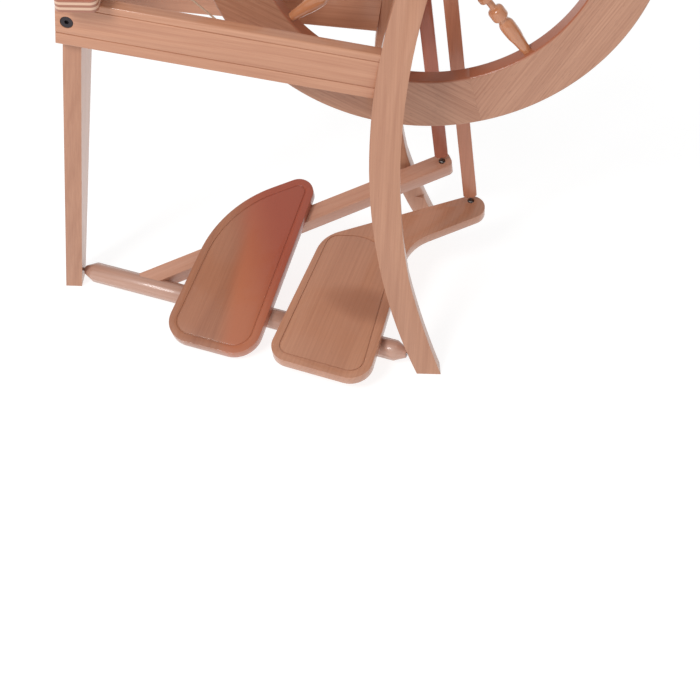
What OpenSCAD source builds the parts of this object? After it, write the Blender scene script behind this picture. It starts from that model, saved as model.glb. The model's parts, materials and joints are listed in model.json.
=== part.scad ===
// Double-treadle spinning wheel on three legs. Millimetres, +Z up, floor at z = 0.
// Every module works in the wheel's own frame, with x = 0 and y = 0 at the wheel's centre.
// The whole model is then moved so that the origin is under the middle of the object.

/* [Drive wheel] */
// Outside diameter of the drive wheel
wheel_d = 560; // [540:2:580]
// Height of the axle above the floor
axle_h = 578; // [574:1:584]
// Width of the rim, measured along a spoke
rim_w = 70; // [60:1:74]
// Thickness of the rim along the axle
rim_t = 25; // [20:1:28]
// Direction of the first spoke, degrees from +X towards +Z
first_spoke = -53.3; // [-60:0.1:-45]
// Ratio of the drive wheel to the flyer whorl
drive_ratio = 6.5; // [6:0.1:8]

/* [Frame] */
// Distance of the curved legs' outer faces from the wheel's plane, at the floor
foot_y = 174; // [165:1:178]
// Inward lean of the curved legs, degrees
leg_lean = 11.3; // [10.8:0.1:11.8]
// Thickness of the curved legs
leg_t = 22; // [20:1:23]
// Height of the rails' section
rail_h = 65; // [60:1:68]
// Thickness of the rails
rail_t = 18; // [16:1:20]
// Slope of the rails down towards the wheel, degrees
rail_slope = 7.8; // [7:0.1:8.5]
// Splay of each rail in plan, degrees
rail_splay = 4.05; // [3.8:0.05:4.2]
// Thickness of the single left leg
left_leg_t = 23; // [20:1:25]

/* [Treadles] */
// Height of the treadle bar's axis above the floor
bar_h = 20; // [19:1:24]
// Distance across the flats of the octagonal treadle bar
bar_w = 27; // [24:1:27]
// Tilt of the left treadle at rest, degrees
left_tilt = 20; // [18:0.5:21]
// Tilt of the right treadle at rest, degrees
right_tilt = 11; // [10:0.5:13]
// Thickness of the treadle boards
board_t = 15; // [12:1:16]
// Side of the left treadle arm's square section
arm_w = 24; // [18:1:26]

/* [Crank and rods] */
// Throw of the double crank
crank_r = 28; // [24:1:30]
// Direction of the left rod's crank pin, degrees from +X towards +Z
crank_angle = 159; // [150:1:165]
// Angle between the two crank pins, degrees
crank_spread = 141; // [135:1:180]
// Width of the connecting rods
rod_w = 19; // [16:1:20]
// Thickness of the connecting rods
rod_t = 10; // [8:1:11]

/* [Flyer head] */
// Height of the orifice above the floor
orifice_h = 660; // [655:1:680]
// Bore of the orifice
orifice_d = 10; // [8:0.5:12]
// Half width of the flyer across its arms
flyer_r = 64; // [60:1:70]
// Diameter of the bobbin's ends
bobbin_d = 84; // [76:1:90]

/* [Hidden] */
$fn = 64;

pale = "#d9a883";
tan = "#cf9a73";
red_brown = "#b56a4a";
steel = "#b9bcc0";
black = "#202226";
brass = "#c9a44c";
cream = "#e8dcc0";
big = 1000;
run = 0.05; // running clearance on a radius
skin = 0.3; // air between faces of bodies that move

wheel_r = wheel_d / 2;
rim_in = wheel_r - rim_w;
left_end = -513.3; // left edge of the left foot
mid_x = (left_end + wheel_r) / 2;

// rails: a point on each rail's lower left corner, outer face
rail_x0 = -453.8;
rail_y0 = 55.3;
rail_z0 = 443.9;
rail_len = 440;
bolt_x = 14;
bolt_z = 33.5;
bolt_head_r = 7.6;
bolt_r = 4;

// curved legs: two arcs in the leaning plane, s is measured up that plane
leg_left_r = 790;
leg_left_x = -68.3;
leg_right_r = 905;
leg_right_x = -29.1;
leg_mid_s = 323;
foot_flare = [1150.2, 436.1, 1198.7]; // centre and radius of the right edge's lower arc
leg_head_r = 26;

axle_r = 6;
bush_r = 11;
hub_r = 31;
hub_half = 28;
axle_front = -66;
inner_web = [66.4, 68.4]; // crank web on the axle's end, close to the rear leg
web_y = 87.2; // front face of the web between the two rods
web_t = 5;

// treadle hinge line, from the left leg to the front curved leg
pin_a = [-487, 0, bar_h];
pin_b = [-7, -157, bar_h];
bar_len = norm(pin_b - pin_a);
bar_turn = atan2(pin_b.y - pin_a.y, pin_b.x - pin_a.x);
neck_r = 10;
neck_w = 12;
necks = [356, 446];
board_c = bar_w / 2;
right_board_c = bar_w / 2 + 2.5;
arm_top = bar_w / 2;
arm_start = [97.1, 0]; // the left arm's centre line starts on the hinge line
arm_way = 40.2; // direction of the left arm, from the hinge line
arm_len = 480;
line_in = 11; // routed line on the boards, in from the edge
line_w = 1.6;
line_d = 1.2;

// places of the links' holes in the treadles: along the hinge line, and behind it
left_hole = arm_start + (arm_len - 13) * [cos(arm_way), sin(arm_way)];
right_hole = [508.5, 260];
link_hole_r = 5;
link_hole_depth = 9;
link_pin_r = 1.5;
link_pin_drop = 3.5;
link_gap = 9; // from the treadle to the end of the wooden rod

flyer_x = -414;
bar_x0 = -440;
bar_x1 = -388;
bar_z0 = 508;
bar_t = 17;
band_r = wheel_r - 1; // radius of the band's centre line on the wheel
whorl_band_r = band_r / drive_ratio;
band_w = 1.25;
bobbin_y0 = 20;
bobbin_y1 = 110;
brake_y = 130;
brake_r = 20;
spindle_r = 4;
front_maiden_y = -62;
rear_maiden_y = 152;

function turn_y(v, a) = [v.x * cos(a) - v.z * sin(a), v.y, v.x * sin(a) + v.z * cos(a)];
function turn_z(v, a) = [v.x * cos(a) - v.y * sin(a), v.x * sin(a) + v.y * cos(a), v.z];
// a point given along, behind and above the hinge line, on a treadle tilted by a
function on_hinge(p, a) =
    pin_a + turn_z([p.x, p.y * cos(a) - p.z * sin(a), p.y * sin(a) + p.z * cos(a)], bar_turn);
left_joint = on_hinge([left_hole.x, left_hole.y, arm_top - link_pin_drop], left_tilt);
right_joint = on_hinge([right_hole.x, right_hole.y, right_board_c + board_t - link_pin_drop], right_tilt);
// each board's outline is a list of [x, y, r] arcs joined by tangents; a hollow corner has r < 0
function board_front(d) =
    sin(bar_turn) * d.x + cos(bar_turn) * (d.y * cos(right_tilt) - (right_board_c + board_t) * sin(right_tilt))
    - d.z * sqrt(1 - pow(sin(right_tilt) * cos(bar_turn), 2));
left_board = [[200, -44, 35], [262, -41, 38], [272, 189.5, 22.3], [336, 55, 167.6]];
right_board = [[351, -52, 28], [436, -50, 31], [510.6, 137, -60.4], [511.7, 248.6, 20.4], [373.2, 112, 47.7]];
// the routed line on the right board keeps to the blade
right_line = [[351, -52, 28], [436, -50, 31], [419, 124, 29], [380, 92, 70.5], [353, 127, 30]];
mid_y = (foot_y + min([for (d = right_board) board_front(d)])) / 2;
left_top = [crank_r * cos(crank_angle), 101, axle_h + crank_r * sin(crank_angle)];
right_top = [crank_r * cos(crank_angle + crank_spread), 78.5, axle_h + crank_r * sin(crank_angle + crank_spread)];

module placed() translate([-mid_x, -mid_y, 0]) children();

module along_y(y0, y1, r) translate([0, y0, 0]) rotate([-90, 0, 0]) cylinder(h = y1 - y0, r = r);

// turned work: a profile of [distance along the axis, radius] pairs, revolved about Z
module turned(profile) {
    points = concat([[0, profile[0][0]]], [for (p = profile) [p[1], p[0]]],
        [[0, profile[len(profile) - 1][0]]]);
    rotate_extrude() polygon(points);
}

// carries a shape standing on Z so that it runs from p to q, without turning its section
module from_to(p, q) {
    v = q - p;
    tilt = acos(v.z / norm(v));
    way = atan2(v.y, v.x);
    translate(p) rotate([0, tilt, way]) rotate([0, 0, -way]) children();
}

module rounded(w, h, r) {
    square([w - 2 * r, h], center = true);
    square([w, h - 2 * r], center = true);
    for (x = [-1, 1]) {
        for (y = [-1, 1]) {
            translate([x * (w / 2 - r), y * (h / 2 - r)]) circle(r = r);
        }
    }
}

// ---- frame ----

// puts the front rail's own frame in place: x along the rail, y inwards, z up its face
module rail_frame(side) {
    mirror([0, side > 0 ? 1 : 0, 0])
        translate([rail_x0, -rail_y0, rail_z0]) rotate([0, 0, -rail_splay]) rotate([0, rail_slope, 0])
            children();
}

// lays the leaning plane of a curved leg in place: x, then s up the plane, then depth inwards
module leg_frame(side) {
    mirror([0, side > 0 ? 1 : 0, 0])
        translate([0, -foot_y, 0]) rotate([90 - leg_lean, 0, 0]) mirror([0, 0, 1]) children();
}

module leg_left_arc() translate([leg_left_x + leg_left_r, leg_mid_s]) circle(r = leg_left_r, $fn = 360);

module rail_body(side) {
    edge = 2.5;
    groove_w = 1.4;
    groove_d = 1;
    difference() {
        rail_frame(side) translate([rail_len / 2, rail_t / 2, rail_h / 2]) rotate([90, 0, 90])
            difference() {
                linear_extrude(height = rail_len, center = true) rounded(rail_t, rail_h, edge);
                for (h = [0.15, 0.74]) {
                    translate([-rail_t / 2, rail_h * (0.5 - h), 0])
                        cube([2 * groove_d, groove_w, 2 * rail_len], center = true);
                }
            }
        leg_frame(side) translate([0, 0, -leg_t]) linear_extrude(height = 4 * leg_t) leg_left_arc();
    }
}

module rail(side) {
    color(pale) placed() difference() {
        rail_body(side);
        rail_frame(side) translate([bolt_x, 0, bolt_z]) rotate([-90, 0, 0]) {
            translate([0, 0, -1]) cylinder(h = 7, r = bolt_head_r + 0.6);
            cylinder(h = 3 * rail_t, r = bolt_r + run);
        }
    }
}

// the rear leg is a little narrower, and relieved where the left treadle's arm passes it
module curved_leg(side) {
    narrower = side > 0 ? 5.5 : 0;
    color(tan) placed() difference() {
        union() {
            leg_frame(side) linear_extrude(height = leg_t) difference() {
                intersection() {
                    leg_left_arc();
                    translate([-200, -40]) square([400, axle_h / cos(leg_lean) + 40]);
                }
                translate([-narrower, 0]) intersection() {
                    translate([leg_right_x + leg_right_r, leg_mid_s - 8]) circle(r = leg_right_r, $fn = 360);
                    translate([foot_flare.x, foot_flare.y]) circle(r = foot_flare.z, $fn = 360);
                }
            }
            leg_frame(side) translate([0, axle_h / cos(leg_lean), 0]) cylinder(h = leg_t, r = leg_head_r);
        }
        translate([0, 0, -big / 2]) cube([big, big, big], center = true);
        translate([0, 0, axle_h]) along_y(-big / 2, big / 2, bush_r);
        if (side < 0) {
            treadle_frame(0) translate([bar_len, 0, 0]) rotate([0, 90, 0])
                cylinder(h = 40, r = 2.5 + run, center = true);
        } else {
            treadle_frame(left_tilt - 7.5) translate([arm_start.x, arm_start.y, -30]) rotate([0, 0, arm_way])
                translate([370, -60, 0]) cube([140, 60 + arm_w / 2 + 1, 180]);
        }
    }
}

module left_leg() {
    foot_half = 14.5;
    top_half = 42;
    lean = 8.45;
    length = 530;
    knee = 410; // where the taper ends
    color(tan) placed() difference() {
        translate([left_end, 0, 0]) rotate([0, lean, 0]) rotate([90, 0, 90])
            linear_extrude(height = left_leg_t)
                polygon([[-foot_half, -10], [foot_half, -10], [top_half, knee], [top_half, length],
                    [-top_half, length], [-top_half, knee]]);
        translate([0, 0, -big / 2]) cube([2 * big, big, big], center = true);
        translate([0, 0, bar_z0 + big / 2]) cube([2 * big, big, big], center = true);
        for (side = [-1, 1]) {
            rail_frame(side) translate([-50, -50, -0.5]) cube([big, rail_t + 50, 3 * rail_h]);
            rail_frame(side) translate([bolt_x, 0, bolt_z]) rotate([-90, 0, 0])
                cylinder(h = rail_t + 36, r = bolt_r + run);
        }
        treadle_frame(0) rotate([0, 90, 0]) cylinder(h = 40, r = 2.5 + run, center = true);
    }
}

module rail_bolts() {
    color(black) placed() {
        for (side = [-1, 1]) {
            rail_frame(side) translate([bolt_x, 0, bolt_z]) rotate([-90, 0, 0]) difference() {
                union() {
                    translate([0, 0, 0.5]) cylinder(h = 5.5, r = bolt_head_r);
                    translate([0, 0, 1]) cylinder(h = rail_t + 34, r = bolt_r);
                }
                translate([0, 0, -1]) cylinder(h = 5, r = 3, $fn = 6);
            }
        }
    }
}

module axle_bush(side) {
    half = 31 - leg_t / 2;
    color(cream) placed() translate([0, side * 48, axle_h]) difference() {
        union() {
            along_y(-14, 14, bush_r);
            along_y(side > 0 ? -16 : 14, side > 0 ? -14 : 16, bush_r + 3);
        }
        along_y(-20, 20, axle_r + run);
    }
}

// ---- drive wheel ----

module rim_segment(n) {
    start = first_spoke - 21.3 + 90 * n;
    color(pale) placed() translate([0, 0, axle_h]) rotate([90, 0, 0]) difference() {
        rotate([0, 0, start]) rotate_extrude(angle = 90, $fn = 180) difference() {
            translate([wheel_r - rim_w / 2, 0]) rounded(rim_w, rim_t, 3);
            translate([band_r, 0]) circle(r = band_w + 0.5);
        }
        for (i = [0:7]) {
            rotate([0, 0, first_spoke + 45 * i]) translate([rim_in - 5, 0, 0]) rotate([0, 90, 0])
                cylinder(h = 17, r = 6 + run);
        }
    }
}

module spoke(n) {
    hub_end = hub_r - 8;
    rim_end = rim_in + 11;
    profile = [[hub_end, 6], [hub_r + 2, 6], [hub_r + 4, 8], [hub_r + 10, 9.5], [hub_r + 18, 10],
        [hub_r + 26, 8], [hub_r + 31, 5.5], [hub_r + 34, 5.5], [hub_r + 36, 9], [hub_r + 40, 9],
        [hub_r + 42, 6], [hub_r + 46, 8.5], [hub_r + 54, 10.5], [hub_r + 62, 8.5], [hub_r + 68, 5],
        [hub_r + 76, 4.5], [hub_r + 80, 6], [hub_r + 83, 10], [hub_r + 87, 10], [hub_r + 90, 6.5],
        [hub_r + 93, 4.5], [rim_in - 79, 4.5], [rim_in - 76, 8], [rim_in - 70, 10.5],
        [rim_in - 63, 10.5], [rim_in - 58, 7.6], [rim_in - 56, 7.2], [rim_in - 52, 8.5],
        [rim_in - 44, 10], [rim_in - 34, 9.8], [rim_in - 20, 8], [rim_in - 6, 6.4], [rim_in - 3, 6],
        [rim_end, 6]];
    color(tan) placed() translate([0, 0, axle_h]) rotate([0, -first_spoke - 45 * n, 0])
        rotate([0, 90, 0]) turned(profile);
}

module wheel_hub() {
    profile = [[-hub_half, 14], [-hub_half + 3, 20], [-20, 21], [-17, 25], [-14, hub_r],
        [14, hub_r], [17, 25], [20, 21], [hub_half - 3, 20], [hub_half, 14]];
    color(tan) placed() translate([0, 0, axle_h]) difference() {
        rotate([-90, 0, 0]) turned(profile);
        along_y(-big / 2, big / 2, axle_r + run);
        for (i = [0:7]) {
            rotate([0, -first_spoke - 45 * i, 0]) rotate([0, 90, 0])
                translate([0, 0, hub_r - 9]) cylinder(h = 15, r = 6 + run);
        }
    }
}

module wheel_axle() {
    color(steel) placed() translate([0, 0, axle_h]) along_y(axle_front, inner_web[0], axle_r);
}

// the right rod runs between the two webs; the pin that joins them is cut at the rod's bush
module double_crank() {
    right_pin = crank_angle + crank_spread;
    color(steel) placed() translate([0, 0, axle_h]) {
        along_y(inner_web[0], inner_web[1], 12);
        rotate([0, -right_pin, 0]) {
            translate([crank_r / 2, (inner_web[0] + inner_web[1]) / 2, 0])
                cube([crank_r, inner_web[1] - inner_web[0] - 0.4, 14], center = true);
            translate([crank_r, 0, 0]) along_y(inner_web[0], inner_web[1], 9);
            translate([crank_r, 0, 0]) along_y(web_y - 2, web_y + 1, 4);
        }
        rotate([0, -crank_angle - crank_spread / 2, 0])
            translate([crank_r * cos(crank_spread / 2), web_y + web_t / 2, 0])
                cube([14, web_t - 1, 2 * crank_r * sin(crank_spread / 2)], center = true);
        for (a = [crank_angle, right_pin]) {
            rotate([0, -a, 0]) translate([crank_r, 0, 0]) along_y(web_y, web_y + web_t, 9);
        }
        rotate([0, -crank_angle, 0]) translate([crank_r, 0, 0]) along_y(web_y + web_t - 1, web_y + web_t + 1.6, 4);
    }
}

// the band lies in the wheel's plane: two arcs joined by two straight runs
module drive_band() {
    span = [flyer_x, orifice_h - axle_h];
    dist = norm(span);
    way = atan2(span.y, span.x);
    open = acos((band_r - whorl_band_r) / dist);
    run_len = sqrt(dist * dist - pow(band_r - whorl_band_r, 2));
    color(cream) placed() translate([0, 0, axle_h]) rotate([90, 0, 0]) rotate([0, 0, way]) {
        rotate([0, 0, open]) rotate_extrude(angle = 360 - 2 * open, $fn = 180)
            translate([band_r, 0]) circle(r = band_w, $fn = 16);
        translate([dist, 0, 0]) rotate([0, 0, -open]) rotate_extrude(angle = 2 * open, $fn = 60)
            translate([whorl_band_r, 0]) circle(r = band_w, $fn = 16);
        for (s = [-1, 1]) {
            rotate([0, 0, s * open]) translate([band_r, 0, 0]) rotate([s * -90, 0, 0])
                mirror([0, 0, 1]) translate([0, 0, 0.02]) cylinder(h = run_len - 0.04, r = band_w, $fn = 16);
        }
    }
}

// ---- flyer head ----

module mother_of_all() {
    y0 = -86;
    y1 = 170;
    color(pale) placed() difference() {
        translate([(bar_x0 + bar_x1) / 2, (y0 + y1) / 2, bar_z0])
            linear_extrude(height = bar_t) rounded(bar_x1 - bar_x0, y1 - y0, 9);
        translate([flyer_x, 80, bar_z0 - 1]) cylinder(h = bar_t + 2, r = 5 + run);
        for (y = [front_maiden_y, rear_maiden_y]) {
            translate([flyer_x, y, bar_z0 - 1]) cylinder(h = bar_t + 2, r = 9 + run);
        }
        translate([flyer_x + 14, brake_y, bar_z0 - 1]) cylinder(h = bar_t + 2, r = 4 + run);
        translate([hook_x, brake_y, bar_z0 + bar_t - 8]) cylinder(h = 10, r = 1.2 + run);
    }
}

module maiden(y, head_r, bore_r) {
    base = bar_z0 + bar_t;
    rise = orifice_h - base;
    profile = [[-14, 9], [0, 9], [0, 17], [6, 17], [9, 13], [12, 12], [14, 16], [22, 18],
        [34, 16], [46, 11], [50, 9], [53, 13], [57, 13], [60, 9], [rise - 30, 9],
        [rise - 20, 12], [rise - 14, 12]];
    finial = [[head_r - 6, 8], [head_r + 2, 8], [head_r + 4, 6], [head_r + 8, 9],
        [head_r + 14, 11], [head_r + 20, 9], [head_r + 24, 5], [head_r + 25, 2]];
    color(tan) placed() difference() {
        union() {
            translate([flyer_x, y, base]) turned(profile);
            translate([flyer_x, y, orifice_h]) {
                along_y(-9, 9, head_r);
                turned(finial);
            }
        }
        translate([flyer_x, y, orifice_h]) along_y(-30, 30, bore_r);
    }
}

module flyer_bearing(y, outer, inner) {
    color(black) placed() translate([flyer_x, y, orifice_h]) difference() {
        union() {
            along_y(-10, 10, outer);
            along_y(-12, -9, outer + 2);
        }
        along_y(-20, 20, inner + run);
    }
}

module tension_screw() {
    color(steel) placed() translate([flyer_x, 80, bar_z0 - 24]) cylinder(h = 24 + bar_t + 12, r = 5);
}

module tension_knob() {
    profile = [[0, 12], [3, 14], [7, 19], [15, 20], [21, 17], [25, 11], [28, 12], [32, 9], [34, 4]];
    color(red_brown) placed() translate([flyer_x, 80, bar_z0 + bar_t + 0.5]) difference() {
        turned(profile);
        translate([0, 0, -1]) cylinder(h = 13, r = 5);
    }
}

module brake_peg() {
    profile = [[-bar_t, 4], [0.4, 4], [0.4, 7], [3, 7], [5, 5], [8, 8.5], [13, 8.5], [16, 6], [18, 4],
        [33, 4], [35, 2.5]];
    color(red_brown) placed() translate([flyer_x + 14, brake_y, bar_z0 + bar_t]) turned(profile);
}

peg_r = 4;
cord_r = 0.8;
peg_side = 14 + peg_r + cord_r + skin;
peg_z = bar_z0 + bar_t + 25;
hook_x = flyer_x - 20;
hook_z = bar_z0 + bar_t + 14;
spring_len = 32;

// the brake cord runs from the peg over the bobbin's groove and down to the spring
module brake_cord() {
    r = brake_r - 2.6 + cord_r + skin;
    color(cream) placed() translate([flyer_x, brake_y, orifice_h]) {
        rotate([90, 0, 0]) rotate_extrude(angle = 180, $fn = 60) translate([r, 0]) circle(r = cord_r, $fn = 16);
        from_to([r, 0, 0], [peg_side, 0, peg_z - orifice_h])
            cylinder(h = norm([peg_side - r, 0, orifice_h - peg_z]), r = cord_r, $fn = 16);
        from_to([-r, 0, 0], [hook_x - flyer_x, 0, hook_z + spring_len - orifice_h])
            cylinder(h = norm([hook_x - flyer_x + r, 0, orifice_h - hook_z - spring_len]), r = cord_r, $fn = 16);
        translate([14, 0, peg_z - orifice_h]) rotate_extrude($fn = 48)
            translate([peg_r + cord_r + skin, 0]) circle(r = cord_r, $fn = 16);
    }
}

module brake_spring() {
    color(steel) placed() translate([hook_x, brake_y, hook_z + 0.2]) difference() {
        cylinder(h = spring_len - 0.2, r = 3);
        translate([0, 0, -1]) cylinder(h = spring_len, r = 2);
    }
}

module brake_hook() {
    color(brass) placed() translate([hook_x, brake_y, bar_z0 + bar_t - 8]) {
        cylinder(h = 14, r = 1.2);
        translate([0, 0, 17.5]) rotate([90, 0, 0]) rotate_extrude($fn = 48) translate([3.5, 0]) circle(r = 1.2, $fn = 16);
    }
}

module flyer_placed() placed() translate([flyer_x, 0, orifice_h]) children();

module flyer_arms() {
    arm_h = 15;
    arm_d = 11;
    y_tip = 116;
    color(red_brown) flyer_placed() difference() {
        union() {
            translate([0, 15, 0]) cube([2 * (flyer_r - 12), 14, arm_h], center = true);
            along_y(8, 22, 16);
            for (s = [-1, 1]) {
                translate([s * (flyer_r - 12), 8, 0]) intersection() {
                    translate([0, 12, 0]) cylinder(h = arm_h, r = 12, center = true);
                    translate([s * 10, 2, 0]) cube([20, 20, arm_h], center = true);
                }
                translate([s * (flyer_r - arm_d / 2), (20 + y_tip) / 2, 0])
                    cube([arm_d, y_tip - 20, arm_h], center = true);
                translate([s * (flyer_r - arm_d / 2), y_tip, 0]) cylinder(h = arm_h, r = arm_d / 2, center = true);
            }
        }
        along_y(-20, 40, 9);
    }
}

module flyer_hooks() {
    hooks = 7;
    wire = 0.7;
    bend = 2.6;
    color(brass) flyer_placed() {
        for (half = [0, 1]) {
            for (i = [0:hooks - 1]) {
                rotate([0, 180 * half, 0]) translate([flyer_r - 5, 32 + i * 13, 7.5]) {
                    cylinder(h = 4, r = wire, $fn = 16);
                    translate([-bend, 0, 4]) rotate([90, 0, 0])
                        rotate_extrude(angle = 250, $fn = 32) translate([bend, 0]) circle(r = wire, $fn = 16);
                }
            }
        }
    }
}

module orifice_spindle() {
    tube_r = 9;
    color(steel) flyer_placed() difference() {
        union() {
            along_y(-88, 22, tube_r);
            along_y(-88, -84, tube_r + 2);
            along_y(22, rear_maiden_y + 12, spindle_r);
        }
        translate([0, -89, 0]) rotate([-90, 0, 0]) cylinder(h = 55, r = orifice_d / 2);
        translate([0, -39, 0]) cylinder(h = 40, r = 4, center = true);
    }
}

module flyer_whorl() {
    flange = whorl_band_r + 3.5;
    small = 24;
    color(red_brown) flyer_placed() difference() {
        rotate([-90, 0, 0]) rotate_extrude($fn = 120) difference() {
            union() {
                translate([9, -7]) square([flange - 9, 14]);
                translate([9, -21]) square([small + 2.5 - 9, 15]);
            }
            translate([whorl_band_r, 0]) circle(r = band_w + 0.5);
            translate([whorl_band_r, -band_w - 0.5]) square([10, 2 * band_w + 1]);
            translate([small, -14]) circle(r = band_w + 0.5);
            translate([small, -14 - band_w - 0.5]) square([10, 2 * band_w + 1]);
        }
    }
}

module bobbin_core() {
    color(pale) flyer_placed() difference() {
        along_y(bobbin_y0 + 4, 138, 9);
        along_y(0, 150, spindle_r + run + 0.03);
    }
}

module bobbin_front_end() {
    color(tan) flyer_placed() difference() {
        along_y(bobbin_y0 + 3, bobbin_y0 + 10, bobbin_d / 2);
        along_y(0, 150, 9);
    }
}

module bobbin_rear_end() {
    color(tan) flyer_placed() difference() {
        union() {
            along_y(bobbin_y1 - 7, bobbin_y1, bobbin_d / 2);
            along_y(bobbin_y1, 136, brake_r);
        }
        along_y(0, 150, 9);
        translate([0, brake_y, 0]) rotate([90, 0, 0]) rotate_extrude($fn = 60)
            translate([brake_r, 0]) circle(r = 2.6);
    }
}

module bobbin_yarn() {
    color(cream) flyer_placed() difference() {
        rotate([-90, 0, 0]) turned([[bobbin_y0 + 10, 24], [bobbin_y0 + 18, 30], [bobbin_y0 + 40, 33],
            [bobbin_y1 - 30, 32], [bobbin_y1 - 14, 29], [bobbin_y1 - 7, 24]]);
        along_y(0, 150, 9);
    }
}

// ---- treadles ----

// x along the hinge line, y behind it, z up, tilted by a about the line
module treadle_frame(a) translate(pin_a) rotate([0, 0, bar_turn]) rotate([a, 0, 0]) children();

module octagon(x0, x1) translate([x0, 0, 0]) rotate([0, 90, 0]) rotate([0, 0, 22.5])
    cylinder(h = x1 - x0, r = bar_w / 2 / cos(22.5), $fn = 8);

module treadle_bar_solid() {
    point = 22;
    left_tip = 4;
    right_tip = bar_len - 7;
    tip_r = 6;
    outer = bar_w / 2 / cos(22.5) + 3;
    intersection() {
        octagon(left_tip, right_tip);
        rotate([0, 90, 0]) rotate_extrude() polygon([[0, left_tip - 1], [tip_r, left_tip - 1],
            [outer, left_tip + point], [outer, right_tip - point], [tip_r, right_tip + 1], [0, right_tip + 1]]);
    }
}

module treadle_bar() {
    color(pale) placed() treadle_frame(left_tilt) difference() {
        treadle_bar_solid();
        for (x = necks) {
            translate([x, 0, 0]) rotate([0, 90, 0]) difference() {
                cylinder(h = neck_w, r = 30, center = true);
                cylinder(h = neck_w + 2, r = neck_r, center = true);
            }
        }
        rotate([0, 90, 0]) cylinder(h = 60, r = 2.5 + run / 2, center = true);
        translate([bar_len, 0, 0]) rotate([0, 90, 0]) cylinder(h = 60, r = 2.5 + run / 2, center = true);
    }
}

module treadle_bar_pins() {
    color(steel) placed() treadle_frame(left_tilt) {
        translate([-14, 0, 0]) rotate([0, 90, 0]) cylinder(h = 40, r = 2.5);
        translate([bar_len - 26, 0, 0]) rotate([0, 90, 0]) cylinder(h = 40, r = 2.5);
    }
}

module link_hole(place, top) {
    translate([place.x, place.y, top - link_hole_depth]) cylinder(h = 2 * link_hole_depth, r = link_hole_r);
    translate([place.x, place.y, top - link_pin_drop]) rotate([0, 90, 0])
        cylinder(h = 19, r = link_pin_r + run / 2, center = true);
}

// the arm butts against the bar's back faces and ends with rounded corners
module left_treadle_arm() {
    end_r = 8;
    color(pale) placed() treadle_frame(left_tilt) difference() {
        translate([arm_start.x, arm_start.y, arm_top - arm_w]) rotate([0, 0, arm_way]) {
            translate([0, -arm_w / 2, 0]) cube([arm_len - end_r, arm_w, arm_w]);
            translate([0, -arm_w / 2 + end_r, 0]) cube([arm_len, arm_w - 2 * end_r, arm_w]);
            for (s = [-1, 1]) {
                translate([arm_len - end_r, s * (arm_w / 2 - end_r), 0]) cylinder(h = arm_w, r = end_r);
            }
        }
        octagon(-10, 300);
        translate([-50, -200, -50]) cube([500, 200, 100]);
        link_hole(left_hole, arm_top);
    }
}

// the way a tangent from arc p to arc q faces
function side_way(p, q) =
    atan2(q.y - p.y, q.x - p.x) - acos((p.z - q.z) / norm([q.x - p.x, q.y - p.y]));
function turned_by(a, b) = (b - a + 900) % 360 - 180;
// points along arc i of the outline, drawn in from the edge by inset
function arc_points(arcs, i, inset) =
    let (n = len(arcs), c = arcs[i])
    let (a = side_way(arcs[(i + n - 1) % n], c), turn = turned_by(a, side_way(c, arcs[(i + 1) % n])))
    let (steps = ceil(abs(turn) / (c.z > 60 ? 3 : 8)))
    [for (k = [0:steps]) [c.x, c.y] + (c.z - inset) * [cos(a + turn * k / steps), sin(a + turn * k / steps)]];
module board_outline(arcs, inset) polygon([for (i = [0:len(arcs) - 1]) each arc_points(arcs, i, inset)]);

module board(arcs, line) {
    difference() {
        linear_extrude(height = board_t) board_outline(arcs, 0);
        translate([0, 0, board_t - line_d]) linear_extrude(height = 5) difference() {
            board_outline(line, line_in);
            board_outline(line, line_in + line_w);
        }
    }
}

module left_treadle_board() {
    color(red_brown) placed() treadle_frame(left_tilt) translate([0, 0, board_c]) board(left_board, left_board);
}

module right_treadle_board() {
    color(tan) placed() treadle_frame(right_tilt) difference() {
        translate([0, 0, right_board_c]) board(right_board, right_line);
        link_hole(right_hole, right_board_c + board_t);
    }
}

module right_treadle_hinges() {
    width = neck_w - 2 * 0.2;
    wall_r = 13.3;
    color(pale) placed() treadle_frame(right_tilt) {
        for (x = necks) {
            difference() {
                union() {
                    translate([x, 0, 0]) rotate([0, 90, 0]) cylinder(h = width, r = wall_r, center = true);
                    translate([x - width / 2, -wall_r, 0]) cube([width, 2 * wall_r, right_board_c]);
                }
                translate([x, 0, 0]) rotate([0, 90, 0]) cylinder(h = 2 * width, r = neck_r + run, center = true);
            }
        }
    }
}

// ---- connecting rods ----

module rod(joint, top, tint) {
    bottom_gap = link_gap + link_pin_drop;
    v = top - joint;
    length = norm(v) - bottom_gap;
    start = joint + v / norm(v) * bottom_gap;
    eye_r = rod_w / 2 + 0.5;
    color(tint) placed() difference() {
        union() {
            from_to(start, top) translate([0, 0, length / 2]) cube([rod_w, rod_t, length], center = true);
            translate(top) along_y(-rod_t / 2, rod_t / 2, eye_r);
        }
        translate(top) along_y(-rod_t, rod_t, 6);
        from_to(start, top) translate([0, 0, -1]) cylinder(h = 16, r = 1.2 + run / 2);
        for (s = [-1, 1]) {
            from_to(start, top) translate([s * rod_w / 2, 0, 0]) rotate([0, 45, 0]) cube([5, 30, 5], center = true);
        }
    }
}

module rod_bush(top) {
    color(cream) placed() translate(top) difference() {
        along_y(-rod_t / 2 - 0.6, rod_t / 2 + 0.6, 6);
        along_y(-rod_t, rod_t, 4.1);
    }
}

// a steel eye on a wire that hooks the rod to its pin
module rod_link(joint, top) {
    v = top - joint;
    eye_r = 3.2;
    rise = link_gap + link_pin_drop + 12;
    color(steel) placed() difference() {
        union() {
            translate(joint) rotate([0, 0, bar_turn]) rotate([0, 90, 0]) cylinder(h = 3, r = eye_r, center = true);
            from_to(joint, top) translate([0, 0, 2.4]) cylinder(h = rise - 2.4, r = 1.2);
        }
        translate(joint) rotate([0, 0, bar_turn]) rotate([0, 90, 0])
            cylinder(h = 12, r = link_pin_r + run, center = true);
    }
}

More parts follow.
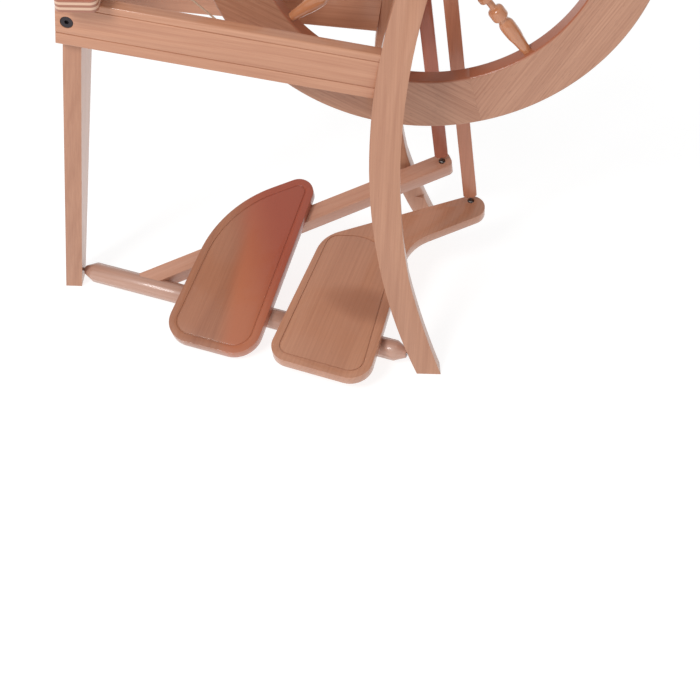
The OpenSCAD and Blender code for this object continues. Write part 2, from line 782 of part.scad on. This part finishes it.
module link_pin(joint, tilt) {
    color(steel) placed() translate(joint) rotate([0, 0, bar_turn]) rotate([0, 90, 0])
        cylinder(h = 18, r = link_pin_r, center = true);
}

rail(-1);  // front_rail
rail(1);  // rear_rail
curved_leg(-1);  // front_curved_leg
curved_leg(1);  // rear_curved_leg
left_leg();
rail_bolts();
axle_bush(-1);  // front_axle_bush
axle_bush(1);  // rear_axle_bush
mother_of_all();
maiden(front_maiden_y, 24, 14);  // front_maiden
maiden(rear_maiden_y, 18, 9);  // rear_maiden
flyer_bearing(front_maiden_y, 14, 9);  // front_flyer_bearing
flyer_bearing(rear_maiden_y, 9, spindle_r);  // rear_flyer_bearing
tension_screw();
tension_knob();
brake_peg();
brake_cord();
brake_spring();
brake_hook();
flyer_arms();
flyer_hooks();
orifice_spindle();
flyer_whorl();
bobbin_core();
bobbin_front_end();
bobbin_rear_end();
bobbin_yarn();
rim_segment(0);  // rim_segment_1
rim_segment(1);  // rim_segment_2
rim_segment(2);  // rim_segment_3
rim_segment(3);  // rim_segment_4
spoke(0);  // spoke_1
spoke(1);  // spoke_2
spoke(2);  // spoke_3
spoke(3);  // spoke_4
spoke(4);  // spoke_5
spoke(5);  // spoke_6
spoke(6);  // spoke_7
spoke(7);  // spoke_8
wheel_hub();
wheel_axle();
double_crank();
drive_band();
rod(left_joint, left_top, red_brown);  // left_rod
rod_bush(left_top);  // left_rod_bush
rod_link(left_joint, left_top);  // left_rod_link
link_pin(left_joint, left_tilt);  // left_link_pin
rod(right_joint, right_top, red_brown);  // right_rod
rod_bush(right_top);  // right_rod_bush
rod_link(right_joint, right_top);  // right_rod_link
link_pin(right_joint, right_tilt);  // right_link_pin
treadle_bar();
treadle_bar_pins();
left_treadle_arm();
left_treadle_board();
right_treadle_board();
right_treadle_hinges();
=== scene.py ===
"""A double-treadle spinning wheel: lacquered hardwood, steel pins and a wound bobbin.

Lengths are in metres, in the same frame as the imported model.
"""

import json
import math

import bmesh
import bpy
from mathutils import Matrix, Vector


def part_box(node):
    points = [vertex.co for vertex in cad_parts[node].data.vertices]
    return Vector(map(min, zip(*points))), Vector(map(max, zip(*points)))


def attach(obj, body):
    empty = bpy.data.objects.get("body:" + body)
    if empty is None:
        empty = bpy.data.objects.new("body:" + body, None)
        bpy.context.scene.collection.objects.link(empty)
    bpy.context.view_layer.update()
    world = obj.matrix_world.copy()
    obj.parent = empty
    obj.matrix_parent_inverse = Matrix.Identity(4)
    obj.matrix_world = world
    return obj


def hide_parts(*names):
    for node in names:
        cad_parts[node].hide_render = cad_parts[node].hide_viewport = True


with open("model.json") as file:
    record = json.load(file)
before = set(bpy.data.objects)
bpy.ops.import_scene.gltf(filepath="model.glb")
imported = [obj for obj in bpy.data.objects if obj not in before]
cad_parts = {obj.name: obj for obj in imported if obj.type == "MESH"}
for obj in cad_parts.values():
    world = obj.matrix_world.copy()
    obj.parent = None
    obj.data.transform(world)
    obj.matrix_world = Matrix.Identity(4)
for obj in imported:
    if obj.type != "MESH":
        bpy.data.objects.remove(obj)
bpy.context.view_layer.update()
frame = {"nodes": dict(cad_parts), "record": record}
joints = {joint["name"]: joint for joint in frame["record"]["behaviour"]["joints"]}
AXLE = Vector(joints["wheel_spin"]["pos_m"])
FLYER = Vector(joints["flyer_spin"]["pos_m"])
TREADLE = Vector(joints["left_treadle_tilt"]["pos_m"])
HINGE = Vector(joints["left_treadle_tilt"]["axis"]).normalized()
UP = Vector((0, 0, 1))
ACROSS = Vector((0, 1, 0))
MM = 0.001
OBJECT_PLACE = 3  # the Texture Coordinate node's Object output


# ---------------------------------------------------------------- shader maths


class Value:
    """A shader socket that can be used in Python arithmetic."""

    def __init__(self, kit, out):
        self.kit, self.out = kit, out

    def math(self, operation, *others):
        return self.kit.node("ShaderNodeMath", {"operation": operation}, self, *others)

    def __add__(self, other):
        return self.math("ADD", other)

    def __radd__(self, other):
        return self.math("ADD", other)

    def __sub__(self, other):
        return self.math("SUBTRACT", other)

    def __rsub__(self, other):
        return self.kit.node("ShaderNodeMath", {"operation": "SUBTRACT"}, other, self)

    def __mul__(self, other):
        return self.math("MULTIPLY", other)

    def __rmul__(self, other):
        return self.math("MULTIPLY", other)

    def __pow__(self, other):
        return self.math("POWER", other)

    def sin(self):
        return self.math("SINE")

    def root(self):
        return self.math("SQRT")

    def step(self, low, high):
        """0 below low, 1 above high, smooth between."""
        settings = {"interpolation_type": "SMOOTHSTEP"}
        return self.kit.node("ShaderNodeMapRange", settings, self, low, high)


class Kit:
    """A node tree whose nodes are made by one generic method."""

    def node(self, kind, settings, *values, output=0, **named):
        """Makes a node from its settings, then its sockets in order, then those given by name."""
        made = self.tree.nodes.new(kind)
        for key, setting in settings.items():
            setattr(made, key, setting)
        sockets = [s for s in made.inputs if s.enabled]
        for socket, value in zip(sockets, values):
            self.give(socket, value)
        for key, value in named.items():
            self.give(next(s for s in sockets if s.name == key.replace("_", " ")), value)
        outs = [s for s in made.outputs if s.enabled]
        return Value(self, outs[output])

    def give(self, socket, value):
        """Links a value that is itself worked out by nodes, and sets any other."""
        if isinstance(value, Value):
            self.tree.links.new(value.out, socket)
        else:
            socket.default_value = (*value, 1) if socket.type == "RGBA" else value


class Material(Kit):
    """A material's node tree, round its one Principled shader."""

    def __init__(self, name):
        self.material = bpy.data.materials.new(name)
        self.material.use_nodes = True
        self.tree = self.material.node_tree
        self.shader = self.tree.nodes["Principled BSDF"]

    def shade(self, **named):
        for key, value in named.items():
            self.give(self.shader.inputs[key.replace("_", " ")], value)

    def noise(self, vector, scale, detail, rough, stretch=(1, 1, 1)):
        """Noise on a place, finer along each axis by that axis's stretch."""
        if stretch != (1, 1, 1):
            vector = self.node("ShaderNodeVectorMath", {"operation": "MULTIPLY"}, vector, stretch)
        return self.node(
            "ShaderNodeTexNoise", {}, Vector=vector, Scale=scale, Detail=detail, Roughness=rough
        )

    def mix(self, factor, first, second):
        return self.node("ShaderNodeMix", {"data_type": "RGBA"}, factor, first, second)

    def bump(self, height, distance, strength):
        return self.node("ShaderNodeBump", {}, Height=height, Distance=distance, Strength=strength)


class Recipe(Kit):
    """A geometry node tree with a named input for each size, run once and kept as plain mesh."""

    def __init__(self, name, **numbers):
        self.name, self.numbers = name, numbers
        self.tree = bpy.data.node_groups.new(name, "GeometryNodeTree")
        for key, value in numbers.items():
            kind = "NodeSocketInt" if isinstance(value, int) else "NodeSocketFloat"
            self.tree.interface.new_socket(key, in_out="INPUT", socket_type=kind)
        self.tree.interface.new_socket(
            "Geometry", in_out="OUTPUT", socket_type="NodeSocketGeometry"
        )
        self.entry = self.tree.nodes.new("NodeGroupInput")

    def __getitem__(self, key):
        return Value(self, self.entry.outputs[key])

    def vector(self, x, y, z):
        return self.node("ShaderNodeCombineXYZ", {}, x, y, z)

    def wire(self, curve, radius, sides=8, swell=1.0):
        """A round bar along a curve, with closed ends and its radius scaled by swell."""
        ring = self.node("GeometryNodeCurvePrimitiveCircle", {}, Resolution=sides, Radius=radius)
        return self.node(
            "GeometryNodeCurveToMesh", {},
            Curve=curve, Profile_Curve=ring, Scale=swell, Fill_Caps=True,
        )

    def moved(self, shape, place=(0, 0, 0), turn=(0, 0, 0)):
        return self.node(
            "GeometryNodeTransform", {}, Geometry=shape, Translation=place, Rotation=turn
        )

    def made(self, shape, material, sharp):
        """Ends the tree and returns its mesh, with edges over sharp degrees left crisp."""
        shape = self.node("GeometryNodeRealizeInstances", {}, Geometry=shape)
        shape = self.node("GeometryNodeSetMaterial", {}, Geometry=shape, Material=material)
        leave = self.tree.nodes.new("NodeGroupOutput")
        self.tree.links.new(shape.out, leave.inputs["Geometry"])
        piece = bpy.data.objects.new(self.name, bpy.data.meshes.new(self.name))
        bpy.context.scene.collection.objects.link(piece)
        modifier = piece.modifiers.new("recipe", "NODES")
        modifier.node_group = self.tree
        for item in self.tree.interface.items_tree:
            if item.in_out == "INPUT":
                modifier[item.identifier] = self.numbers[item.name]
        applied(piece)
        piece.data.shade_smooth()
        piece.data.set_sharp_from_angle(angle=math.radians(sharp))
        return piece


# ---------------------------------------------------------------- finishes


def linear(red, green, blue):
    """A colour given as seen on a screen, 0 to 255, as the shader wants it."""
    return tuple(
        c / 12.92 if c <= 0.04045 else ((c + 0.055) / 1.055) ** 2.4
        for c in (red / 255, green / 255, blue / 255)
    )


# How many times finer each part of the figure is along the grain and across it
WANDER = (3, 14, 14)
BANDS = (2.2, 30, 30)
FIBRES = (9, 430, 430)
FLECKS = (90, 1100, 1100)
PITH = (0.031, 0.083)  # how far the tree's heart lies outside each board, on both axes across it


def wood(
    name, light, dark, streak=0.6, ring_gap=0.006, rough=0.4, fleck=0.3, coat=0.35, second=None
):
    """Lacquered hardwood, with its grain along x of the piece's own grain attribute.

    streak is how strongly fibres and rings show, ring_gap the width of a year's ring in metres,
    fleck how dark the short flecks are, and second a function that colours one region more.
    """
    m = Material(name)
    grain = m.node("ShaderNodeAttribute", {"attribute_name": "grain"}, output=1)
    x, y, z = (m.node("ShaderNodeSeparateXYZ", {}, grain, output=axis) for axis in range(3))
    wander = m.noise(grain, 1.0, 2, 0.5, WANDER) - 0.5
    depth = ((y + PITH[0]) ** 2 + (z + PITH[1]) ** 2).root() + wander * 0.02 + x * 0.02
    rings = ((depth * (2 * math.pi / ring_gap)).sin() * 0.5 + 0.5) ** 3
    bands = m.noise(grain, 1.0, 3, 0.55, BANDS)
    fibres = m.noise(grain, 1.0, 3, 0.65, FIBRES)
    flecks = m.noise(grain, 1.0, 1, 0.5, FLECKS).step(0.64, 0.78)
    tone = bands.step(0.3, 0.7) * 0.4 + (fibres.step(0.3, 0.7) * 0.45 + rings * 0.25) * streak
    colour = m.mix(tone, light, dark)
    if second is not None:
        colour = second(m, colour)
    colour = m.mix(flecks * (fleck * 0.4), colour, tuple(c * 0.5 for c in dark))
    m.shade(
        Base_Color=colour,
        Roughness=fibres * 0.1 + flecks * 0.08 + (rough - 0.06),
        Normal=m.bump(fibres * 0.4 - flecks + rings * 0.2, 0.00012, 0.3),
        Coat_Weight=coat,
        Coat_Roughness=0.12,
    )
    return m.material


def smooth(name, colour, rough, metallic=1.0):
    """Metal or nylon of one colour, a little darker and rougher in worn patches."""
    m = Material(name)
    place = m.node("ShaderNodeTexCoord", {}, output=OBJECT_PLACE)
    smear = m.noise(place, 400.0, 3, 0.6)
    wear = m.noise(place, 60.0, 3, 0.6)
    m.shade(
        Base_Color=m.mix(wear.step(0.35, 0.75) * 0.35, colour, tuple(c * 0.7 for c in colour)),
        Roughness=smear * 0.18 + wear * 0.1 + (rough - 0.14),
        Metallic=metallic,
        Normal=m.bump(smear, 0.00005, 0.3),
    )
    return m.material


def spun(name, colour, dark):
    """Fibre of a cord or yarn: fine twisted strands along the piece's surface."""
    m = Material(name)
    place = m.node("ShaderNodeTexCoord", {}, output=OBJECT_PLACE)
    strands = m.noise(place, 1500.0, 3, 0.6)
    patches = m.noise(place, 90.0, 2, 0.5)
    m.shade(
        Base_Color=m.mix(strands.step(0.3, 0.75) * 0.6 + patches * 0.25, colour, dark),
        Roughness=0.85,
        Normal=m.bump(strands, 0.0003, 0.6),
    )
    return m.material


# How a treadle's board runs back from the hinge and how it rises
BOARD_RUN = 0.95
BOARD_RISE = 0.3
HEARTWOOD_EDGE = 0.245  # where the heartwood starts, along the hinge line
SHADE_PATCH = (0.43, 0.045)  # the painted shade patch's middle, along the hinge line and behind it


def on_board(m):
    """Distances from the hinge's left end along its line and behind it, for a treadle's board."""
    place = m.node("ShaderNodeTexCoord", {}, output=OBJECT_PLACE)
    x, y, z = (m.node("ShaderNodeSeparateXYZ", {}, place, output=axis) for axis in range(3))
    x, y = x - TREADLE.x, y - TREADLE.y
    waver = m.noise(place, 11.0, 2, 0.5) - 0.5
    along = x * HINGE.x + y * HINGE.y + waver * 0.012
    back = y * HINGE.x - x * HINGE.y
    behind = back * BOARD_RUN + (z - TREADLE.z) * BOARD_RISE + waver * 0.02
    return along, behind


def heartwood(m, colour):
    """Orange-brown wood right of a line up the left treadle, reddest at the top."""
    along, behind = on_board(m)
    past = along - HEARTWOOD_EDGE + behind * 0.19
    colour = m.mix(past.step(-0.02, 0.008) * 0.9, colour, linear(182, 106, 72))
    return m.mix((past + behind * 0.4).step(0.0, 0.1) * 0.9, colour, linear(158, 70, 48))


def painted_shade_band(m, colour):
    """Painted shade: a darker soft patch at the middle right of the right treadle."""
    along, behind = on_board(m)
    off = (behind - SHADE_PATCH[1]) ** 2 * 900 + (along - SHADE_PATCH[0]) ** 2 * 160
    return m.mix((1 - off.step(0.0, 1.0)) * 0.6, colour, linear(150, 98, 74))


RIM_INSIDE = 0.21  # the rim's inner radius


def painted_inner_shade(m, colour):
    """Painted shade: the rim's inner face is coloured darker and redder than its sides."""
    place = m.node("ShaderNodeTexCoord", {}, output=OBJECT_PLACE)
    x, z = (m.node("ShaderNodeSeparateXYZ", {}, place, output=axis) for axis in (0, 2))
    radius = ((x - AXLE.x) ** 2 + (z - AXLE.z) ** 2).root()
    return m.mix(radius.step(RIM_INSIDE + 0.5 * MM, RIM_INSIDE + 2.5 * MM), linear(164, 96, 66), colour)


LAYER_PAIR = 6.8 * MM  # one cream layer and one brown
TOP_LAYER = 2.2 * MM


def laminations(m, colour):
    """Thin glued layers, cream and brown in turn, seen on the edge of the head bar."""
    place = m.node("ShaderNodeTexCoord", {}, output=OBJECT_PLACE)
    z = m.node("ShaderNodeSeparateXYZ", {}, place, output=2)
    low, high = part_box("mother_of_all")
    layer = ((z - low.z) * (2 * math.pi / LAYER_PAIR)).sin()
    edge = 1 - (z - (high.z - TOP_LAYER)).step(0.0, 0.6 * MM)
    layered = m.mix(layer.step(-0.3, 0.3), linear(222, 186, 160), linear(160, 106, 84))
    return m.mix(edge * 0.85, colour, layered)


# One finish for each kind of timber, metal or fibre on the wheel
RAIL = wood("rail beech", linear(204, 150, 119), linear(178, 121, 92), streak=0.8)
LEG = wood("leg beech", linear(193, 141, 112), linear(168, 115, 88), streak=0.8, ring_gap=0.009)
# The rim's inner face is coloured with painted shade.
RIM = wood("rim beech", linear(192, 142, 114), linear(160, 108, 82), streak=0.9, ring_gap=0.004,
           fleck=1.2, second=painted_inner_shade)
SPOKE = wood("turned beech", linear(204, 142, 102), linear(176, 108, 70), rough=0.2, coat=0.9)
LAMINATE = wood("head bar layers", linear(178, 104, 80), linear(150, 82, 62), second=laminations)
TURNED_HEAD = wood("turned head beech", linear(205, 146, 108), linear(178, 116, 82), rough=0.22,
                   coat=0.8)
LEFT_ROD = wood("left footman timber", linear(178, 106, 82), linear(152, 82, 60))
RIGHT_ROD = wood("right footman beech", linear(196, 130, 100), linear(170, 106, 78))
BAR = wood("treadle bar beech", linear(200, 160, 142), linear(178, 134, 114))
ARM = wood("left treadle arm beech", linear(200, 148, 122), linear(178, 122, 98))
LEFT_BOARD = wood("left treadle beech", linear(174, 116, 86), linear(146, 90, 64), coat=0.6,
                  second=heartwood)
# The right treadle carries a soft patch of painted shade.
RIGHT_BOARD = wood("right treadle beech", linear(194, 138, 108), linear(168, 112, 84), coat=0.6,
                   second=painted_shade_band)
STEEL = smooth("turned steel", linear(200, 200, 202), 0.3)
DULL_STEEL = smooth("dull steel wire", linear(120, 116, 114), 0.45)
BLACK_STEEL = smooth("blackened steel", linear(58, 52, 56), 0.36, metallic=0.6)
BRASS = smooth("brass wire", linear(214, 176, 100), 0.28)
NYLON = smooth("white nylon", linear(226, 222, 210), 0.5, metallic=0.0)
BLACK_NYLON = smooth("black nylon", linear(46, 45, 48), 0.45, metallic=0.0)
BAND = spun("drive band", linear(214, 190, 166), linear(186, 156, 130))
BRAKE_LINE = spun("brake line", linear(226, 220, 200), linear(180, 172, 150))
YARN = spun("wool yarn", linear(236, 226, 204), linear(196, 182, 156))


# ---------------------------------------------------------------- shapes


def grained(piece, along, middle, offset):
    """Stores where each point lies in its tree: x along the grain, y and z across it."""
    along = Vector(along).normalized()
    side = along.cross(UP if abs(along.z) < 0.9 else ACROSS).normalized()
    axes = (along, side, along.cross(side))
    values = []
    for vertex in piece.data.vertices:
        v = vertex.co - middle
        values += [v.dot(axis) + shift for axis, shift in zip(axes, offset)]
    attribute = piece.data.attributes.new("grain", "FLOAT_VECTOR", "POINT")
    attribute.data.foreach_set("vector", values)


def finished(piece, body, slot_name, material, *nodes):
    """Gives a piece its material and its body, and hides the CAD nodes it stands for."""
    piece.data.materials.clear()
    piece.data.materials.append(material)
    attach(piece, body)
    if nodes:
        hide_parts(*nodes)
    return piece


def applied(piece):
    """The piece with its modifiers turned into plain mesh."""
    depsgraph = bpy.context.evaluated_depsgraph_get()
    mesh = bpy.data.meshes.new_from_object(piece.evaluated_get(depsgraph))
    piece.modifiers.clear()
    piece.data = mesh
    return piece


SHARP = math.radians(28)  # an edge that turns more than this is rounded over or left crisp
WELD = 0.002 * MM  # corners closer than this are one corner
FLAT = math.radians(0.4)  # faces that turn less than this are one face


def eased(node, ease):
    """A copy of a CAD node with its sharp edges rounded over by ease, in millimetres."""
    mesh = frame["nodes"][node].data.copy()
    piece = bpy.data.objects.new(node + "_finished", mesh)
    bpy.context.scene.collection.objects.link(piece)
    bm = bmesh.new()
    bm.from_mesh(mesh)
    bmesh.ops.remove_doubles(bm, verts=bm.verts, dist=WELD)
    if ease > 0:
        bmesh.ops.dissolve_limit(bm, angle_limit=FLAT, verts=bm.verts, edges=bm.edges)
    for face in bm.faces:
        face.smooth = True
    bm.to_mesh(mesh)
    bm.free()
    if ease > 0:
        bevel = piece.modifiers.new("ease", "BEVEL")
        bevel.width = ease * MM
        bevel.segments = 3
        bevel.limit_method = "ANGLE"
        bevel.angle_limit = SHARP
        bevel.harden_normals = True
        bevel.use_clamp_overlap = True
        applied(piece)
    piece.data.set_sharp_from_angle(angle=SHARP)
    return piece


BODIES = frame["record"]["behaviour"]["bodies"]
BODY_OF = {node: body for body, nodes in BODIES.items() for node in nodes}
SLOT_OF = {s["node"]: s["material_slot"] for s in frame["record"]["subparts"]}


def part(node, material, along, ease, offset=(0, 0, 0)):
    """A wooden part: grain along the given way, from its own place in the tree."""
    piece = eased(node, ease)
    low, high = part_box(node)
    grained(piece, along, (low + high) / 2, offset)
    finished(piece, BODY_OF[node], SLOT_OF[node], material, node)


# ---------------------------------------------------------------- frame

part("front_rail", RAIL, (0.99, -0.07, -0.135), 0.6, (0, 0.2, 0.1))
part("rear_rail", RAIL, (0.99, 0.07, -0.135), 0.6, (0.7, 0.5, 0.3))
part("front_curved_leg", LEG, (0.02, 0.196, 0.98), 4.5, (0.3, 0.1, 0.2))
part("rear_curved_leg", LEG, (0.02, -0.196, 0.98), 4.5, (0.9, 0.7, 0.4))
part("left_leg", LEG, (0.147, 0, 0.989), 5, (0.1, 0.4, 0.8))
part("mother_of_all", LAMINATE, (0, 1, 0), 2)
for node in ("front_maiden", "rear_maiden"):
    part(node, TURNED_HEAD, (0, 0, 1), 0)

# ---------------------------------------------------------------- wheel

for number in range(4):
    node = f"rim_segment_{number + 1}"
    low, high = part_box(node)
    middle = (low + high) / 2 - AXLE
    chord = Vector((-middle.z, 0, middle.x))
    part(node, RIM, chord, 0.3, (number * 0.37, number * 0.21, number * 0.13))
part("wheel_hub", SPOKE, (1, 0, 0), 0)

SPOKES = 8
FIRST_SPOKE = math.radians(-53.3)


def turned_spokes():
    """Spokes turned from one profile and set evenly round the hub."""
    first, last, widest = 23.0, 222.0, 11.0
    # Distance from the axle and radius there, in millimetres
    beads = [
        (23, 6), (33, 6), (35, 8), (41, 9.5), (49, 10), (57, 8), (62, 5.5), (65, 5.5), (67, 9),
        (71, 9), (73, 6), (77, 8.5), (85, 10.6), (93, 8.5), (99, 5), (107, 4.5), (111, 6),
        (114, 10), (118, 10), (121, 6.5), (124, 4.5), (132, 4.5), (135, 8), (141, 10.6),
        (148, 10.6), (153, 7.6), (155, 7.2), (159, 8.5), (167, 10), (177, 9.8), (191, 8),
        (205, 6.4), (208, 6), (222, 6),
    ]
    g = Recipe("turned_spokes", Spokes=SPOKES, First=FIRST_SPOKE, Step=2 * math.pi / SPOKES)
    line = g.node(
        "GeometryNodeCurvePrimitiveLine", {}, Start=(first * MM, 0, 0), End=(last * MM, 0, 0)
    )
    line = g.node("GeometryNodeResampleCurve", {}, Curve=line, Count=260)
    along = g.node("GeometryNodeSplineParameter", {})
    profile = g.node("ShaderNodeFloatCurve", {}, Value=along)
    curve = profile.out.node.mapping.curves[0]
    while len(curve.points) < len(beads):
        curve.points.new(0.5, 0.5)
    for point, (distance, radius) in zip(curve.points, beads):
        point.location = ((distance - first) / (last - first), radius / widest)
        point.handle_type = "AUTO_CLAMPED"
    profile.out.node.mapping.update()
    shape = g.wire(line, widest * MM, 36, profile)
    place = g.node("GeometryNodeInputPosition", {})
    shape = g.node(
        "GeometryNodeStoreNamedAttribute",
        {"data_type": "FLOAT_VECTOR", "domain": "POINT"},
        Geometry=shape, Name="grain", Value=place,
    )
    points = g.node("GeometryNodeMeshLine", {}, Count=g["Spokes"], Offset=(0, 0, 0))
    number = g.node("GeometryNodeInputIndex", {})
    turn = g.vector(0.0, (g["First"] + number * g["Step"]) * -1.0, 0.0)
    shape = g.node(
        "GeometryNodeInstanceOnPoints", {}, Points=points, Instance=shape, Rotation=turn
    )
    piece = g.made(g.moved(shape, AXLE), SPOKE, 40)
    nodes = [f"spoke_{n + 1}" for n in range(SPOKES)]
    finished(piece, "wheel", "spoke_wood", SPOKE, *nodes)


turned_spokes()

# ---------------------------------------------------------------- treadles

part("treadle_bar", BAR, HINGE, 0)
part("left_treadle_arm", ARM, (0.91, 0.37, 0.2), 2.5, (0.4, 0.2, 0.5))
part("right_treadle_hinges", BAR, UP, 0)
part("left_treadle_board", LEFT_BOARD, (0.3, 0.9, 0.33), 3)
part("right_treadle_board", RIGHT_BOARD, (0.3, 0.93, 0.19), 3, (0.6, 0.3, 0.1))
part("left_rod", LEFT_ROD, UP, 1.5)
part("right_rod", RIGHT_ROD, UP, 1.5, (0.5, 0.5, 0.5))

# ---------------------------------------------------------------- head

for node in ("bobbin_core", "bobbin_front_end", "bobbin_rear_end", "flyer_arms", "flyer_whorl"):
    part(node, TURNED_HEAD, (1, 0, 0), 1.0)
for node in ("tension_knob", "brake_peg"):
    part(node, TURNED_HEAD, (0, 0, 1), 0)


def wound_yarn():
    """One strand of yarn laid round the bobbin, sunk into the yarn's own solid."""
    low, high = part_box("bobbin_yarn")
    margin = 1.3 * MM
    g = Recipe("yarn_windings", Turns=44.0, Strand=0.0011, Full=0.0325, Thin=0.0245)
    spiral = g.node(
        "GeometryNodeCurveSpiral", {}, Resolution=56, Rotations=g["Turns"], Start_Radius=1.0,
        End_Radius=1.0, Height=high.y - low.y - 2 * margin,
    )
    place = g.node("GeometryNodeInputPosition", {})
    x, y, z = (g.node("ShaderNodeSeparateXYZ", {}, place, output=axis) for axis in range(3))
    along = g.node("GeometryNodeSplineParameter", {})
    swell = 1 - (along * 2 - 1) ** 4
    radius = g["Thin"] + (g["Full"] - g["Thin"]) * swell - g["Strand"] * 0.35
    spiral = g.node(
        "GeometryNodeSetPosition", {}, Geometry=spiral, Position=g.vector(x * radius, y * radius, z)
    )
    shape = g.wire(spiral, g["Strand"], 6)
    shape = g.moved(shape, turn=(math.radians(-90), 0, 0))
    shape = g.moved(shape, (FLYER.x, low.y + margin, FLYER.z))
    finished(g.made(shape, YARN, 80), "bobbin", "yarn_wool", YARN)


def coiled_spring():
    """The brake's spring as a wound coil."""
    low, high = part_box("brake_spring")
    margin = 0.5 * MM
    g = Recipe("brake_spring_coil", Turns=15.0, Radius=0.0025, Wire=0.00045)
    spiral = g.node(
        "GeometryNodeCurveSpiral", {}, Resolution=28, Rotations=g["Turns"],
        Start_Radius=g["Radius"], End_Radius=g["Radius"], Height=high.z - low.z - 2 * margin,
    )
    shape = g.wire(spiral, g["Wire"])
    shape = g.moved(shape, ((low.x + high.x) / 2, (low.y + high.y) / 2, low.z + margin))
    finished(g.made(shape, STEEL, 80), "frame", "steel", STEEL, "brake_spring")


def flyer_hooks():
    """Two rows of bent wire hooks, one on each flyer arm, half a turn apart."""
    stem_top, first_hook = 4 * MM, (59 * MM, 32 * MM, 7.5 * MM)
    g = Recipe("flyer_hook_rows", Hooks=7, Gap=0.013, Wire=0.0007, Bend=0.0026)
    arc = g.node(
        "GeometryNodeCurveArc", {}, Resolution=24, Radius=g["Bend"], Sweep_Angle=math.radians(250)
    )
    arc = g.moved(arc, turn=(math.radians(90), 0, 0))
    arc = g.moved(arc, g.vector(g["Bend"] * -1.0, 0.0, stem_top))
    stem = g.node("GeometryNodeCurvePrimitiveLine", {}, Start=(0, 0, -MM), End=(0, 0, stem_top))
    both = g.node("GeometryNodeJoinGeometry", {})
    for stretch in (stem, arc):
        g.tree.links.new(g.wire(stretch, g["Wire"]).out, both.out.node.inputs["Geometry"])
    row = g.node(
        "GeometryNodeMeshLine", {}, Count=g["Hooks"], Start_Location=first_hook,
        Offset=g.vector(0.0, g["Gap"], 0.0),
    )
    rows = g.node("GeometryNodeInstanceOnPoints", {}, Points=row, Instance=both)
    pair = g.node("GeometryNodeJoinGeometry", {})
    for angle in (0, math.pi):
        g.tree.links.new(g.moved(rows, turn=(0, angle, 0)).out, pair.out.node.inputs["Geometry"])
    finished(g.made(g.moved(pair, FLYER), BRASS, 60), "flyer", "brass", BRASS, "flyer_hooks")


wound_yarn()
coiled_spring()
flyer_hooks()

# ---------------------------------------------------------------- metal, nylon and cord

PLAIN_FINISHES = {
    "steel": STEEL,
    "black_steel": BLACK_STEEL,
    "brass": BRASS,
    "nylon": NYLON,
    "black_nylon": BLACK_NYLON,
    "band_cord": BAND,
    "brake_line": BRAKE_LINE,
    "yarn_wool": YARN,
}
for node, slot_name in SLOT_OF.items():
    if slot_name in PLAIN_FINISHES:
        finish = DULL_STEEL if "_link" in node else PLAIN_FINISHES[slot_name]
        piece = frame["nodes"][node]
        piece.data.materials.clear()
        piece.data.materials.append(finish)


# ---------------------------------------------------------------- studio


def floor_material():
    m = Material("studio floor")
    m.shade(Base_Color=(0.3, 0.3, 0.3), Roughness=0.95, Specular_IOR_Level=0.0)
    m.shade(Emission_Color=(1, 1, 1), Emission_Strength=0.82)
    return m.material


bpy.ops.mesh.primitive_plane_add(size=40, location=(0, 0, -0.5 * MM))
floor = bpy.context.object
floor.name = "studio_floor"
floor.data.materials.append(floor_material())

scene = bpy.context.scene
scene.view_settings.view_transform = "Standard"
world = bpy.data.worlds.new("studio")
world.use_nodes = True
background = world.node_tree.nodes["Background"]
background.inputs["Color"].default_value = (1, 1, 1, 1)
background.inputs["Strength"].default_value = 0.55
scene.world = world


def softbox(name, place, aim, size, power):
    """A square lamp turned from its place to the point that it lights."""
    light = bpy.data.lights.new(name, "AREA")
    light.shape = "SQUARE"
    light.size = size
    light.energy = power
    lamp = bpy.data.objects.new(name, light)
    lamp.location = place
    lamp.rotation_euler = (Vector(aim) - Vector(place)).to_track_quat("-Z", "Y").to_euler()
    scene.collection.objects.link(lamp)


softbox("key", (-1.5, -1.9, 2.7), (0, 0, 0.4), 1.0, 58)


CAMERA_FROM_AXLE = Vector((-0.027, -1.533, 1.4365))  # from the floor below the wheel's middle
CAMERA_YAW = -0.047
CAMERA_DOWN = 0.7973
CAMERA_ROLL = -0.0078


def look():
    """A camera in front of the wheel, a little to its left, that looks down at the treadles."""
    yaw, pitch, roll = CAMERA_YAW, CAMERA_DOWN, CAMERA_ROLL
    forward = Vector(
        (math.sin(yaw) * math.cos(pitch), math.cos(yaw) * math.cos(pitch), -math.sin(pitch))
    )
    right = Vector((math.cos(yaw), -math.sin(yaw), 0))
    up = right.cross(forward)
    turned_right = right * math.cos(roll) + up * math.sin(roll)
    turned_up = up * math.cos(roll) - right * math.sin(roll)
    data = bpy.data.cameras.new("camera")
    data.sensor_width = 36
    data.lens = 73.9
    camera = bpy.data.objects.new("camera", data)
    place = Vector((AXLE.x, AXLE.y, 0)) + CAMERA_FROM_AXLE
    axes = Matrix((turned_right, turned_up, -forward)).transposed()
    camera.matrix_world = Matrix.Translation(place) @ axes.to_4x4()
    scene.collection.objects.link(camera)
    scene.camera = camera


look()
